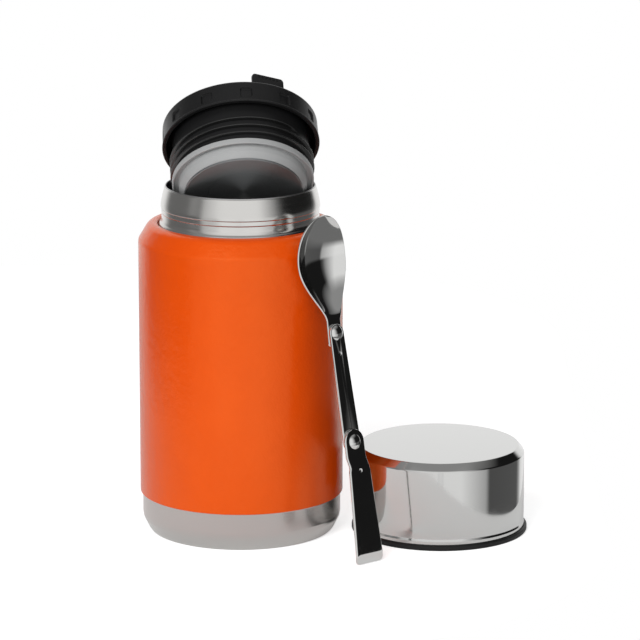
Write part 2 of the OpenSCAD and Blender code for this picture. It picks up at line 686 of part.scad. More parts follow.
module handle_rivet() {
    head = handle_front - face_gap;
    color("lightgray") place_spoon() at_handle_rivet() union() {
        translate([0, head, 0]) rotate([90, 0, 0]) dome(rivet_head_r, rivet_dome_h);
        cross_bore(rivet_r, head, plate_t);
        translate([0, plate_t - sink_h, 0]) rotate([-90, 0, 0])
            cylinder(r1 = rivet_r, r2 = sink_r, h = sink_h, $fn = SMALL_FN);
    }
}

module bowl_rivet() {
    tail = tongue_back + plate_t + face_gap;
    color("lightgray") place_spoon() at_bowl_rivet() union() {
        rotate([90, 0, 0]) dome(rivet_head_r, rivet_dome_h);
        cross_bore(rivet_r, 0, tail);
        translate([0, tail, 0]) rotate([-90, 0, 0]) dome(rivet_head_r * 0.8, rivet_dome_h * 0.8);
    }
}

outer_shell();
neck_collar();
inner_vessel();
base_cup();
closing_plate();
seal_button();
getter();
stopper_cap();
stopper_plug();
stopper_foam();
stopper_seal();
stopper_disc();
flip_tab();
tab_pin();
cup_shell();
cup_ring();
spoon_handle();
spoon_link();
spoon_bowl();
handle_rivet();
bowl_rivet();
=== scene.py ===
"""Insulated food jar: painted vacuum body, screw-in stopper laid open in the mouth, cup and folding spoon.

Lengths are in metres and written in millimetres times MM. Every piece is built in its own upright frame
and placed by the same transforms as the CAD part. -Y faces the camera.
"""

import json
import math

import bmesh
import bpy
from mathutils import Matrix, Vector


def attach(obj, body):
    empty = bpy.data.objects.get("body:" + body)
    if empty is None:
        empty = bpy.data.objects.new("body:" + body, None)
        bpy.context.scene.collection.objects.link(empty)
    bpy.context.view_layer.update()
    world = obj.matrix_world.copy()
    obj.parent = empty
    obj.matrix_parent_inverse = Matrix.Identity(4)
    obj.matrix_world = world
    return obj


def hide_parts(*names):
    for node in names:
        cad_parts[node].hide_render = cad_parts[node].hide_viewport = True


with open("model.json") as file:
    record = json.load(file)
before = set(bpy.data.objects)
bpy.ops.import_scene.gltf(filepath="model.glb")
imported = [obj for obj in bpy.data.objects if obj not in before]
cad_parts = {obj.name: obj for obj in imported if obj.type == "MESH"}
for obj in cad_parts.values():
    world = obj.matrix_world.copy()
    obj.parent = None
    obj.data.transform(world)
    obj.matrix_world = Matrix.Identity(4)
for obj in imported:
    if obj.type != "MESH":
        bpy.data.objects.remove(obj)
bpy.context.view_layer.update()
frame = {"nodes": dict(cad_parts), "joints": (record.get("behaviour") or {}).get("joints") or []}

MM = 0.001
SEGMENTS = 256


# ---------------------------------------------------------------- sizes, in millimetres

BODY_R = 50.0
BODY_EDGE = 0.4
SHOULDER_Z = 145.5
SHOULDER_FILLET = 4.0
SHOULDER_LEAN = 31
SHOULDER_ROUND = 5.0
SHOULDER_FLAT = 0.4
SHOULDER_ROLL = 1.2
SHOULDER_TOP = 154.106
SHELL_WALL = 0.8
BAND_H = 19.1
BAND_R = 48.8
BASE_WALL = 0.8
SEAT_R = 49.2
SEAT_H = 7.0
GROOVE_R = 32.0
GROOVE_W = 4.0
GROOVE_H = 1.0
FOOT_R = 45.2
FOOT_H = 6.4
NECK_Z = SHOULDER_TOP - 2.6
NECK_R = 38.6
NECK_FLARE = 1.8
FLARE_R = NECK_R + NECK_FLARE
SEAM_DROP = 1.3
COLLAR_WALL = 0.8
NECK_H = 20.8
JAR_H = NECK_Z + NECK_H
MOUTH_R = 36.1
VESSEL_WALL = 0.6
VESSEL_R = 44.6
VESSEL_Z = 20.0
VESSEL_CORNER = 10.0
LIP_R = MOUTH_R + VESSEL_WALL
LIP_ROUND = 0.3
THREAD_PITCH = 4.2
MOUTH_THREAD_H = 1.2
MOUTH_THREAD_TURNS = 1.6
MOUTH_THREAD_CLEAR = 7.5

STOPPER_AT = (0.4, 0.8)
STOPPER_RAISED = 18.5
STOPPER_ROLL = -4.7
STOPPER_TILT = -45.5
SKIRT_R = 38.0
SKIRT_H = 12.0
SKIRT_WALL = 1.8
SKIRT_DRAFT = 0.25
TOP_EDGE = 1.3
TOP_T = 3.0
PLUG_TOP = SKIRT_H - TOP_T
POCKETS = 12
POCKET_W = 5.6
POCKET_H = 5.2
POCKET_LOW = 2.5
POCKET_DEPTH = 0.8
POCKET_CORNER = 0.7
POCKET_EDGE = 0.16
POCKET_TURN = 8.5
PLUG_R = 33.3
PLUG_DEPTH = 18.9
PLUG_WALL = 1.6
PLUG_THREAD_H = 1.7
PLUG_THREAD_TOP = -6.5
PLUG_THREAD_CLEAR = 1.6
PLUG_THREAD_START = 124
SEAL_R = 34.3
SEAL_RING_H = 3.0
SEAL_STEP_R = 31.7
SEAL_FOOT = 26.9
DISC_R = 28.6
DISC_DEPTH = 27.8
DISH_SHARE = 0.6
DISH_H = 0.9
HUB_R = DISC_R - 0.6
HUB_DEPTH = 26.1
TAB_W = 16.5
TAB_H = 7.2
TAB_T = 1.8
TAB_AT = 33.0
TAB_TURN = 28.5
TAB_Z = SKIRT_H - TAB_T / 2 - 0.1
TAB_CORNER = 1.8
TAB_GAP = 0.3
TAB_RIBS = 6
RIB_W = 0.9
RIB_INSET = 3.3
RIB_STAND = 0.2

CUP = (97.8, -3.8)
CUP_R = 41.8
CUP_H = 43.0
CUP_WALL = 0.8
CUP_BEVEL_R = 2.9
CUP_BEVEL_H = 3.6
CUP_FLARE = 0.2
RING_OUT = 1.5
RING_H = 2.8
RING_FLOOR = 0.8
RING_INNER_R = 40.0

SPOON_SWING = 42
SPOON_LEAN = -11
PLATE_T = 1.5
PLATE_GAP = 0.1
HANDLE_L = 59.0
HANDLE_HEAD_R = 6.1
HANDLE_CORNER = 2.4
CURL_L = 5.5
CURL_H = 0.9
LINK_L = 53.0
LINK_FOOT_R = 5.2
LINK_HEAD_R = 4.3
BOWL_REACH = 56.5
BOWL_L = 48.0
BOWL_W = 30.6
BOWL_DEPTH = 5.5
BOWL_T = 1.2
RIM_DIP = 4.6
TONGUE_L = 7.0
TONGUE_HALF = 4.3
TONGUE_ROUND = 1.5
RIVET_HEAD_R = 3.6
RIVET_DOME = 1.3
TAIL_R = 2.8
TAIL_DOME = 0.25
JOGGLE = 1.7
JOGGLE_FROM = 6.5
JOGGLE_L = 6.5
DIMPLE_R = 1.1
DIMPLE_H = 0.35
DIMPLE_AT = 10.0
HANDLE_DIMPLE_AT = 14.0
HANDLE_ROLL = 1.0
LINK_ROLL = -1.0
BOWL_ROLL = 2.8


# ---------------------------------------------------------------- camera

CAMERA_DISTANCE = 2.0
CAMERA_ELEVATION = 13.1
CAMERA_AIM = Vector((0.0388, 0.0, 0.1044))
PIXELS_PER_MM = 2.038
PICTURE = 640
SENSOR = 36.0
FAR_CLIP = 20


def make_camera():
    data = bpy.data.cameras.new("camera")
    data.sensor_width = SENSOR
    data.lens = SENSOR * PIXELS_PER_MM * CAMERA_DISTANCE / MM / PICTURE
    data.clip_end = FAR_CLIP
    camera = bpy.data.objects.new("camera", data)
    bpy.context.scene.collection.objects.link(camera)
    tilt = math.radians(CAMERA_ELEVATION)
    camera.location = CAMERA_AIM + CAMERA_DISTANCE * Vector((0, -math.cos(tilt), math.sin(tilt)))
    camera.rotation_euler = (math.radians(90 - CAMERA_ELEVATION), 0, 0)
    bpy.context.scene.camera = camera


# ---------------------------------------------------------------- node helpers

MIX_A = 6
MIX_B = 7
MIX_RESULT = 2


class Shader:
    """A small wrapper for building a node tree."""

    def __init__(self, tree):
        self.tree = tree
        self.tree.nodes.clear()

    def add(self, kind, inputs=None, **settings):
        node = self.tree.nodes.new(kind)
        for name, value in settings.items():
            setattr(node, name, value)
        for key, value in (inputs or {}).items():
            self.put(node.inputs[key], value)
        return node

    def put(self, socket, value):
        if isinstance(value, bpy.types.NodeSocket):
            self.tree.links.new(value, socket)
        else:
            socket.default_value = value

    def math(self, operation, a, b=0.0, clamp=False):
        node = self.add("ShaderNodeMath", {0: a, 1: b}, operation=operation)
        node.use_clamp = clamp
        return node.outputs[0]

    def ramp(self, factor, stops, interpolation="LINEAR"):
        node = self.add("ShaderNodeValToRGB", {0: factor})
        node.color_ramp.interpolation = interpolation
        elements = node.color_ramp.elements
        while len(elements) < len(stops):
            elements.new(0.5)
        for element, (at, colour) in zip(elements, stops):
            element.position = at
            element.color = colour if isinstance(colour, tuple) else (colour, colour, colour, 1)
        return node.outputs[0]

    def noise(self, vector, scale, detail=2.0, roughness=0.5):
        node = self.add("ShaderNodeTexNoise", {"Vector": vector, "Scale": scale, "Detail": detail,
                                               "Roughness": roughness})
        return node.outputs["Fac"]

    def stretched(self, vector, scale):
        return self.add("ShaderNodeMapping", {"Vector": vector, "Scale": scale}).outputs[0]

    def bump(self, height, strength, distance, normal=None):
        inputs = {"Height": height, "Strength": strength, "Distance": distance}
        if normal is not None:
            inputs["Normal"] = normal
        return self.add("ShaderNodeBump", inputs).outputs[0]

    def mix(self, factor, a, b):
        node = self.add("ShaderNodeMix", data_type="RGBA")
        self.put(node.inputs["Factor"], factor)
        self.put(node.inputs[MIX_A], a)
        self.put(node.inputs[MIX_B], b)
        return node.outputs[MIX_RESULT]


def surface(name, base, roughness, metallic=0.0):
    """A new material: its shader helper and its principled node, with the plain values set."""
    material = bpy.data.materials.new(name)
    material.use_nodes = True
    shader = Shader(material.node_tree)
    bsdf = shader.add("ShaderNodeBsdfPrincipled")
    output = shader.add("ShaderNodeOutputMaterial")
    shader.put(output.inputs["Surface"], bsdf.outputs[0])
    bsdf.inputs["Base Color"].default_value = (*base, 1)
    bsdf.inputs["Roughness"].default_value = roughness
    bsdf.inputs["Metallic"].default_value = metallic
    return material, shader, bsdf


def object_point(shader):
    return shader.add("ShaderNodeTexCoord").outputs["Object"]


def shades(base, darker, lighter):
    """A colour made a little darker and a little lighter."""
    dark = (*[c * darker for c in base], 1)
    light = (*[min(1, c * lighter) for c in base], 1)
    return dark, light


# ---------------------------------------------------------------- materials

COAT = (0.77, 0.07, 0.0002)
COAT_DEEP = (0.73, 0.063, 0.0001, 1)
COAT_LIGHT = (0.81, 0.077, 0.0003, 1)
COAT_SHEEN = (1.0, 0.6, 0.22, 1)
SPUN = (0.3, 0.31, 0.315)
SPUN_DARK = (0.255, 0.265, 0.27, 1)
SPUN_LIGHT = (0.345, 0.355, 0.36, 1)
SPUN_RINGS = 4200
# The silicone colours are partly the seal's own pale grey and partly painted shade: they are darker than
# white silicone, for the seal in shade under the stopper.
SHADED_SILICONE = (0.37, 0.375, 0.375)
SHADED_SILICONE_DARK = (0.35, 0.355, 0.355, 1)
SHADED_SILICONE_LIGHT = (0.39, 0.395, 0.395, 1)
BRUSH_LINES = (14, 14, 5200)
HAIRLINES = (40, 40, 3000)


def powder_coat():
    """Orange powder coat: a fine grain over soft swells."""
    material, s, bsdf = surface("powder_coat", COAT, roughness=0.22)
    bsdf.inputs["Specular IOR Level"].default_value = 1.0
    bsdf.inputs["Specular Tint"].default_value = COAT_SHEEN
    point = object_point(s)
    mottle = s.noise(point, scale=60, detail=3)
    colour = s.mix(mottle, COAT_DEEP, COAT_LIGHT)
    s.put(bsdf.inputs["Base Color"], colour)
    grain = s.noise(point, scale=950, detail=3, roughness=0.6)
    swell = s.noise(point, scale=260, detail=2)
    rough = s.ramp(grain, [(0.3, 0.18), (0.7, 0.26)])
    s.put(bsdf.inputs["Roughness"], rough)
    wrinkle = s.bump(swell, strength=0.34, distance=0.0005)
    s.put(bsdf.inputs["Normal"], s.bump(grain, strength=0.5, distance=0.0002, normal=wrinkle))
    return material


def brushed(name, base, roughness, lines=0.3):
    """Steel with fine brush lines that run round the upright axis."""
    material, s, bsdf = surface(name, base, roughness, metallic=1.0)
    point = object_point(s)
    streaks = s.noise(s.stretched(point, BRUSH_LINES), scale=1.0, detail=3, roughness=0.7)
    patches = s.noise(point, scale=35, detail=2)
    s.put(bsdf.inputs["Base Color"], s.mix(streaks, *shades(base, 0.95, 1.04)))
    blend = s.math("MULTIPLY_ADD", streaks, 0.12)
    s.put(blend.node.inputs[2], roughness - 0.06)
    s.put(bsdf.inputs["Roughness"], s.math("ADD", blend, s.math("MULTIPLY", patches, 0.04)))
    s.put(bsdf.inputs["Normal"], s.bump(streaks, strength=lines, distance=0.00004))
    return material


def polished(name, base, roughness=0.045, lines=0.04):
    """Steel polished to a mirror, with a little haze and faint hairlines."""
    material, s, bsdf = surface(name, base, roughness, metallic=1.0)
    point = object_point(s)
    haze = s.noise(point, scale=90, detail=3)
    s.put(bsdf.inputs["Roughness"], s.ramp(haze, [(0.35, roughness), (0.75, roughness + 0.05)]))
    hairlines = s.noise(s.stretched(point, HAIRLINES), scale=1.0, detail=2)
    s.put(bsdf.inputs["Normal"], s.bump(hairlines, strength=lines, distance=0.00002))
    return material


def spun(name):
    """Steel turned on a lathe: fine rings round the piece's own Z axis, which spread light across them."""
    material, s, bsdf = surface(name, SPUN, roughness=0.5, metallic=0.85)
    bsdf.inputs["Anisotropic"].default_value = 0.8
    bsdf.inputs["Anisotropic Rotation"].default_value = 0.25
    round_axis = s.add("ShaderNodeTangent", direction_type="RADIAL", axis="Z")
    s.put(bsdf.inputs["Tangent"], round_axis.outputs[0])
    point = object_point(s)
    split = s.add("ShaderNodeSeparateXYZ", {0: point})
    squares = s.math("ADD", s.math("POWER", split.outputs[0], 2), s.math("POWER", split.outputs[1], 2))
    radius = s.math("SQRT", squares)
    rings = s.add("ShaderNodeCombineXYZ", {0: s.math("MULTIPLY", radius, SPUN_RINGS)})
    ringed = s.noise(rings.outputs[0], scale=1.0, detail=2, roughness=0.6)
    s.put(bsdf.inputs["Base Color"], s.mix(ringed, SPUN_DARK, SPUN_LIGHT))
    s.put(bsdf.inputs["Roughness"], s.ramp(ringed, [(0.3, 0.44), (0.7, 0.56)]))
    s.put(bsdf.inputs["Normal"], s.bump(ringed, strength=0.35, distance=0.00005))
    return material


def moulded(name, base, roughness, grain=0.2, gloss=0.3):
    material, s, bsdf = surface(name, base, roughness)
    bsdf.inputs["Specular IOR Level"].default_value = gloss
    point = object_point(s)
    speck = s.noise(point, scale=1600, detail=2, roughness=0.6)
    cloud = s.noise(point, scale=70, detail=3)
    s.put(bsdf.inputs["Base Color"], s.mix(cloud, *shades(base, 0.85, 1.2)))
    s.put(bsdf.inputs["Roughness"], s.ramp(cloud, [(0.3, roughness - 0.05), (0.7, roughness + 0.06)]))
    s.put(bsdf.inputs["Normal"], s.bump(speck, strength=grain, distance=0.00006))
    return material


def silicone(name):
    # Painted shade: the base colour and its random cloud are darker than the white silicone itself.
    material, s, bsdf = surface(name, SHADED_SILICONE, roughness=0.42)
    bsdf.inputs["Subsurface Weight"].default_value = 0.1
    bsdf.inputs["Subsurface Radius"].default_value = (0.002, 0.002, 0.002)
    point = object_point(s)
    cloud = s.noise(point, scale=120, detail=3)
    s.put(bsdf.inputs["Base Color"], s.mix(cloud, SHADED_SILICONE_DARK, SHADED_SILICONE_LIGHT))
    skin = s.noise(point, scale=700, detail=2)
    s.put(bsdf.inputs["Normal"], s.bump(skin, strength=0.12, distance=0.00008))
    return material


# ---------------------------------------------------------------- mesh helpers

SHARP = 38
DIMPLE_SHARP = 34
FIRST_GROWTH = 0.03
ON_AXIS = 1e-6


def arc(cx, cy, radius, start, end, steps):
    """Points along an arc, from a start to an end in degrees."""
    angles = [math.radians(start + (end - start) * i / steps) for i in range(steps + 1)]
    return [(cx + radius * math.cos(a), cy + radius * math.sin(a)) for a in angles]


def rounded(corners, steps=5):
    """Outline through (x, y) or (x, y, fillet) corners, with an arc of that radius at each fillet."""
    points = []
    count = len(corners)
    for i, corner in enumerate(corners):
        here = Vector(corner[:2])
        fillet = corner[2] if len(corner) > 2 else 0
        if fillet <= 0:
            points.append(tuple(here))
            continue
        back = Vector(corners[i - 1][:2]) - here
        ahead = Vector(corners[(i + 1) % count][:2]) - here
        angle = back.angle(ahead)
        reach = fillet / math.tan(angle / 2)
        reach = min(reach, back.length * 0.49, ahead.length * 0.49)
        radius = reach * math.tan(angle / 2)
        back.normalize()
        ahead.normalize()
        centre = here + (back + ahead).normalized() * radius / math.sin(angle / 2)
        first = here + back * reach - centre
        last = here + ahead * reach - centre
        for k in range(steps + 1):
            t = k / steps
            mixed = first.lerp(last, t)
            points.append(tuple(centre + mixed.normalized() * radius))
    return points


def smooth_curve(points, steps):
    """A smooth curve that passes through the points."""
    out = []
    last = len(points) - 1
    for i in range(last):
        p = [Vector(points[min(max(i + k, 0), last)]) for k in (-1, 0, 1, 2)]
        for k in range(steps):
            t = k / steps
            value = 0.5 * ((2 * p[1]) + (p[2] - p[0]) * t + (2 * p[0] - 5 * p[1] + 4 * p[2] - p[3]) * t * t
                           + (3 * p[1] - p[0] - 3 * p[2] + p[3]) * t ** 3)
            out.append(tuple(value))
    out.append(tuple(points[-1]))
    return out


def to_object(name, mesh_data, place, sharp=SHARP, own_frame=False):
    """Makes the mesh an object. With own_frame it keeps its own axes for its material."""
    mesh = bpy.data.meshes.new(name)
    mesh_data.to_mesh(mesh)
    mesh_data.free()
    if not own_frame:
        mesh.transform(place)
    for polygon in mesh.polygons:
        polygon.use_smooth = True
    mesh.set_sharp_from_angle(angle=math.radians(sharp))
    piece = bpy.data.objects.new(name, mesh)
    bpy.context.scene.collection.objects.link(piece)
    if own_frame:
        piece.matrix_world = place
    return piece


def lathe(name, outline, place=Matrix(), segments=SEGMENTS, warp=None, own_frame=False):
    """Turns a closed outline of (radius, height), in millimetres, round the Z axis."""
    data = bmesh.new()
    rings = []
    for radius, height in outline:
        if radius < ON_AXIS:
            rings.append([data.verts.new((0, 0, height * MM))] * segments)
            continue
        ring = []
        for k in range(segments):
            angle = 2 * math.pi * k / segments
            r = radius + (warp(radius, height, angle) if warp else 0)
            ring.append(data.verts.new((r * MM * math.cos(angle), r * MM * math.sin(angle), height * MM)))
        rings.append(ring)
    count = len(rings)
    for i in range(count):
        a, b = rings[i], rings[(i + 1) % count]
        for k in range(segments):
            j = (k + 1) % segments
            corners = []
            for vertex in (a[k], a[j], b[j], b[k]):
                if vertex not in corners:
                    corners.append(vertex)
            if len(corners) > 2:
                data.faces.new(corners)
    bmesh.ops.recalc_face_normals(data, faces=data.faces)
    return to_object(name, data, place, own_frame=own_frame)


def helix(name, section, low, turns, place=Matrix(), fade=0.12):
    """Sweeps a section of (radius, height) points along a helix. Its first and last points are its root."""
    steps = 72
    total = round(turns * steps)
    root = section[0][0]
    data = bmesh.new()
    rings = []
    for i in range(total + 1):
        ends = min(i, total - i) / (steps * fade)
        grow = math.sin(min(1, ends) * math.pi / 2) if ends > 0 else FIRST_GROWTH
        angle = 2 * math.pi * i / steps
        ring = []
        for radius, height in section:
            r = (root + (radius - root) * grow) * MM
            z = (low + THREAD_PITCH * i / steps + height) * MM
            ring.append(data.verts.new((r * math.cos(angle), r * math.sin(angle), z)))
        rings.append(ring)
    count = len(section)
    for a, b in zip(rings, rings[1:]):
        for k in range(count):
            j = (k + 1) % count
            data.faces.new((a[k], a[j], b[j], b[k]))
    data.faces.new(rings[0])
    data.faces.new(rings[-1])
    bmesh.ops.recalc_face_normals(data, faces=data.faces)
    return to_object(name, data, place, sharp=50)


def plate(name, outline, front, back, place, edge=0.35, sharp=50):
    """A flat plate from an outline in x and z, between two y planes, with rounded edges."""
    data = bmesh.new()
    face = data.faces.new([data.verts.new((x * MM, front * MM, z * MM)) for x, z in outline])
    grown = bmesh.ops.extrude_face_region(data, geom=[face])
    moved = [v for v in grown["geom"] if isinstance(v, bmesh.types.BMVert)]
    bmesh.ops.translate(data, verts=moved, vec=(0, (back - front) * MM, 0))
    bmesh.ops.recalc_face_normals(data, faces=data.faces)
    borders = [e for e in data.edges if len(e.link_faces) == 2 and e.calc_face_angle(0) > 1.2]
    bmesh.ops.bevel(data, geom=borders, offset=edge * MM, segments=3, affect="EDGES", profile=0.5)
    return to_object(name, data, place, sharp)


def carve(piece, cutter, sharp=SHARP):
    """Cuts the cutter out of the piece, removes it and marks the edges of the cut as sharp."""
    modifier = piece.modifiers.new("cut", "BOOLEAN")
    modifier.object = cutter
    modifier.solver = "EXACT"
    bpy.context.view_layer.objects.active = piece
    bpy.ops.object.modifier_apply(modifier=modifier.name)
    bpy.data.objects.remove(cutter)
    piece.data.set_sharp_from_angle(angle=math.radians(sharp))


def box_cutter(low, high, place):
    data = bmesh.new()
    bmesh.ops.create_cube(data, size=1)
    for v in data.verts:
        v.co = Vector([(a + b) / 2 * MM + c * (b - a) * MM for a, b, c in zip(low, high, v.co)])
    return to_object("cutter", data, place)


def press_dimple(piece, place, front, z):
    """Presses a shallow round mark into the front of a plate at height z."""
    ball = (DIMPLE_R ** 2 + DIMPLE_H ** 2) / (2 * DIMPLE_H)
    data = bmesh.new()
    bmesh.ops.create_uvsphere(data, u_segments=48, v_segments=32, radius=ball * MM)
    at = place @ shift(0, front - ball + DIMPLE_H, z)
    carve(piece, to_object("cutter", data, at), DIMPLE_SHARP)


def finish_piece(piece, material, body, slot, *nodes):
    """Gives the piece its material, its body and the nodes it stands in for. The slot is not used."""
    piece.data.materials.clear()
    piece.data.materials.append(material)
    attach(piece, body)
    if nodes:
        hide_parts(*nodes)


def give_material(node, material):
    """Gives a CAD node that stays in the scene its material."""
    materials = frame["nodes"][node].data.materials
    materials.clear()
    materials.append(material)


# ---------------------------------------------------------------- places

def turn(axis, degrees):
    return Matrix.Rotation(math.radians(degrees), 4, axis)


def shift(x, y, z):
    return Matrix.Translation(Vector((x, y, z)) * MM)


STOPPER = shift(*STOPPER_AT, JAR_H + STOPPER_RAISED) @ turn("Y", STOPPER_ROLL) @ turn("X", STOPPER_TILT)
TAB = STOPPER @ turn("Z", TAB_TURN + 180) @ shift(0, TAB_AT, TAB_Z)
CUP_PLACE = shift(*CUP, 0)
SPOON_TURN = turn("Z", SPOON_SWING) @ turn("X", SPOON_LEAN)
JOINT_PLACE = {joint["name"]: Vector(joint.get("pos_m", (0, 0, 0))) for joint in frame["joints"]}
AT_HANDLE_RIVET = Matrix.Translation(JOINT_PLACE["handle_fold"]) @ SPOON_TURN
AT_BOWL_RIVET = Matrix.Translation(JOINT_PLACE["bowl_fold"]) @ SPOON_TURN
HANDLE = AT_HANDLE_RIVET @ turn("Y", HANDLE_ROLL)
LINK = AT_HANDLE_RIVET @ turn("Y", LINK_ROLL)
BOWL = AT_BOWL_RIVET @ turn("Y", BOWL_ROLL)


# ---------------------------------------------------------------- jar

def painted_body(paint):
    """The painted shell: an upright wall, a rounded corner, a sloped shoulder and a rolled edge."""
    roll_r = FLARE_R + SHOULDER_ROLL
    inner_flare_r = FLARE_R + SHELL_WALL
    seam_z = NECK_Z - SEAM_DROP
    round_at = (roll_r + SHOULDER_FLAT, SHOULDER_TOP - SHOULDER_ROUND)
    fillet_z = SHOULDER_Z - SHOULDER_FILLET * math.tan(math.radians(SHOULDER_LEAN / 2))
    fillet_at = (BODY_R - SHOULDER_FILLET, fillet_z)
    outline = [(BODY_R - SHELL_WALL, BAND_H)]
    outline += arc(BODY_R - BODY_EDGE, BAND_H + BODY_EDGE, BODY_EDGE, -90, 0, 4)
    outline += [(BODY_R, z) for z in (BAND_H + 1, 50, 90, 120, 135)]
    outline += arc(*fillet_at, SHOULDER_FILLET, 0, SHOULDER_LEAN, 10)
    outline += arc(*round_at, SHOULDER_ROUND, SHOULDER_LEAN, 90, 16)
    outline += arc(roll_r, SHOULDER_TOP - SHOULDER_ROLL, SHOULDER_ROLL, 90, 180, 10)
    outline += [(FLARE_R, seam_z), (inner_flare_r, seam_z)]
    outline += [(inner_flare_r, SHOULDER_TOP - SHELL_WALL)]
    outline += arc(*round_at, SHOULDER_ROUND - SHELL_WALL, 90, SHOULDER_LEAN, 8)
    outline += arc(*fillet_at, SHOULDER_FILLET - SHELL_WALL, SHOULDER_LEAN, 0, 6)
    body = lathe("painted_body", outline)
    finish_piece(body, paint, "jar", "painted_body", "outer_shell")


def steel_neck(steel):
    """The neck: a flared foot, a soft bead between two fine steps, and a lip that leans in."""
    curve = [(NECK_FLARE, -SEAM_DROP), (NECK_FLARE, 0.3), (1.55, 1.1), (1.0, 2.4), (0.35, 3.3),
             (0.04, 4.3), (-0.05, 5.5), (-0.14, 6.6), (-0.18, 7.3), (0.0, 7.7), (0.04, 8.2), (0.04, 9.4),
             (0.06, 9.8), (0.24, 10.1), (0.28, 10.8), (0.25, 11.6), (0.12, 12.6), (-0.18, 14.2),
             (-0.55, 15.8), (-1.02, 17.7), (-1.42, 19.2), (-1.6, 19.9)]
    outside = smooth_curve([(NECK_R + r, NECK_Z + z) for r, z in curve], steps=4)
    collar = outside + [(LIP_R, JAR_H - 0.5), (LIP_R, JAR_H - 3)]
    collar += [(NECK_R + r - COLLAR_WALL, NECK_Z + z) for r, z in reversed(curve[1:-3])]
    collar += [(FLARE_R - COLLAR_WALL, NECK_Z - SEAM_DROP)]
    neck = lathe("steel_neck", collar)
    finish_piece(neck, steel, "jar", "brushed_steel", "neck_collar")


def vessel_pieces(inside_steel):
    """The inner vessel with its rolled lip, and the thread inside its mouth."""
    top = NECK_Z - 1
    foot = top - (VESSEL_R - LIP_R)
    inner_drop = VESSEL_WALL * 0.4
    corner_at = (VESSEL_R - VESSEL_CORNER, VESSEL_Z + VESSEL_CORNER)
    outline = [(0, VESSEL_Z)]
    outline += arc(*corner_at, VESSEL_CORNER, -90, 0, 12)
    outline += [(VESSEL_R, foot), (LIP_R, top), (LIP_R, JAR_H - 2)]
    outline += arc(LIP_R - LIP_ROUND, JAR_H - LIP_ROUND, LIP_ROUND, 0, 180, 8)
    outline += [(MOUTH_R, JAR_H - 2), (MOUTH_R, top - inner_drop)]
    outline += [(VESSEL_R - VESSEL_WALL, foot - inner_drop)]
    outline += arc(*corner_at, VESSEL_CORNER - VESSEL_WALL, 0, -90, 12)
    outline += [(0, VESSEL_Z + VESSEL_WALL)]
    inside = lathe("vessel", outline)
    finish_piece(inside, inside_steel, "jar", "vessel_steel", "inner_vessel")

    root = MOUTH_R + 0.25
    crest = MOUTH_R - MOUTH_THREAD_H
    section = [(root, -1.5), (crest + 0.7, -0.95), (crest + 0.15, -0.5), (crest, 0), (crest + 0.15, 0.5),
               (crest + 0.7, 0.95), (root, 1.5)]
    low = JAR_H - MOUTH_THREAD_CLEAR - MOUTH_THREAD_TURNS * THREAD_PITCH
    thread = helix("mouth_thread", section, low, MOUTH_THREAD_TURNS)
    finish_piece(thread, inside_steel, "jar", "vessel_steel")


def base_band(band_steel):
    """The base cup: the bare band, the foot with a groove pressed into it, and the seat in the shell."""
    seat_inner_r = SEAT_R - BASE_WALL
    band_inner_r = BAND_R - BASE_WALL
    near, far = GROOVE_R - GROOVE_W / 2, GROOVE_R + GROOVE_W / 2
    lead = 0.4
    soft = 0.8
    underside = [(0, 0), (near - GROOVE_H, 0, soft), (near, GROOVE_H, soft), (far, GROOVE_H, soft),
                 (far + GROOVE_H, 0, soft), (FOOT_R - 0.4, 0, 1.2)]
    outside = [(FOOT_R + 0.9, 1.7, 2.0), (BAND_R - 0.35, FOOT_H, 2.4), (BAND_R, FOOT_H + 2.2, 1.5),
               (BAND_R, BAND_H - 0.55, 0.3), (SEAT_R, BAND_H + 0.4), (SEAT_R, BAND_H + SEAT_H)]
    inside = [(seat_inner_r, BAND_H + SEAT_H), (seat_inner_r, BAND_H + 0.8), (band_inner_r, BAND_H - 0.2),
              (band_inner_r, FOOT_H + 1.6), (FOOT_R - 0.3, 1.4), (FOOT_R - 1.1, BASE_WALL)]
    floor = [(far + GROOVE_H + lead, BASE_WALL), (far + lead, BASE_WALL + GROOVE_H),
             (near - lead, BASE_WALL + GROOVE_H), (near - GROOVE_H - lead, BASE_WALL), (0, BASE_WALL)]
    band = lathe("base_band", rounded(underside + outside + inside + floor))
    finish_piece(band, band_steel, "jar", "brushed_steel", "base_cup")


def jar_pieces(paint, steel, band_steel, inside_steel):
    painted_body(paint)
    steel_neck(steel)
    vessel_pieces(inside_steel)
    base_band(band_steel)


# ---------------------------------------------------------------- stopper

def pocket_warp(radius, height, angle):
    """How far the skirt's outside is pressed in at a grip pocket, with soft edges."""
    if radius < SKIRT_R - 0.6 or height < 0.5 or height > SKIRT_H - TOP_EDGE:
        return 0
    pitch = 2 * math.pi / POCKETS
    start = math.radians(POCKET_TURN - 90)
    offset = (angle - start + pitch / 2) % pitch - pitch / 2
    across = abs(offset) * SKIRT_R - POCKET_W / 2
    upright = abs(height - POCKET_LOW - POCKET_H / 2) - POCKET_H / 2
    outside = math.hypot(max(across + POCKET_CORNER, 0), max(upright + POCKET_CORNER, 0))
    distance = outside + min(max(across + POCKET_CORNER, upright + POCKET_CORNER), 0) - POCKET_CORNER
    depth = min(max(0.5 - distance / POCKET_EDGE, 0), 1)
    return -POCKET_DEPTH * depth * depth * (3 - 2 * depth)


